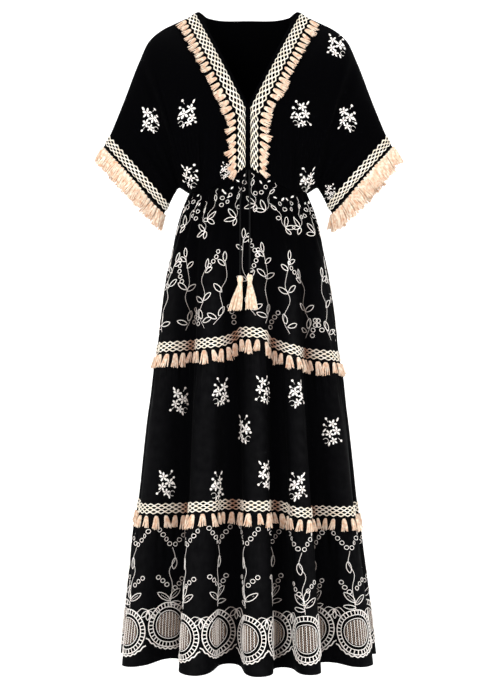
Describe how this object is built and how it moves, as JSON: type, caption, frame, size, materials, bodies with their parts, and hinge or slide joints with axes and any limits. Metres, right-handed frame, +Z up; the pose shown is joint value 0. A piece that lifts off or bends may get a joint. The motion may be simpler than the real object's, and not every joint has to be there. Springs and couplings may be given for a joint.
{
  "type": "maxi dress",
  "caption": "Black tiered maxi dress in its worn form, with a V neck, wide cut-in sleeves, cream braid and tassel trims, embroidered panels and a front tie.",
  "frame": {"origin": "midway between the two high points of the shoulders, where the wearer's shoulders hold the dress", "axes": "+Z up, -Y towards the front of the dress, +X towards the right of the picture"},
  "size_m": [0.6096, 0.4207, 1.2901],
  "materials": {
    "cloth": "matt woven cloth",
    "braid": "openwork braid",
    "tassel_thread": "soft thread",
    "tie_cord": "soft cord"
  },
  "bodies": {
    "root": {"bodice_front_left": "cloth", "bodice_front_right": "cloth", "bodice_back": "cloth", "skirt_upper_front": "cloth", "skirt_upper_back": "cloth", "skirt_middle_front": "cloth", "skirt_middle_back": "cloth", "skirt_bottom_front": "cloth", "skirt_bottom_back": "cloth", "neck_trim_left": "braid", "neck_trim_right": "braid", "cuff_trim_left": "braid", "cuff_trim_right": "braid", "tier_trim_upper": "braid", "tier_trim_lower": "braid", "neck_fringe_left": "tassel_thread", "neck_fringe_right": "tassel_thread", "cuff_fringe_left": "tassel_thread", "cuff_fringe_right": "tassel_thread", "tier_fringe_upper": "tassel_thread", "tier_fringe_lower": "tassel_thread", "tie_left": "tie_cord", "tie_right": "tie_cord", "tassel_left": "tassel_thread", "tassel_right": "tassel_thread"}
  },
  "joints": []
}
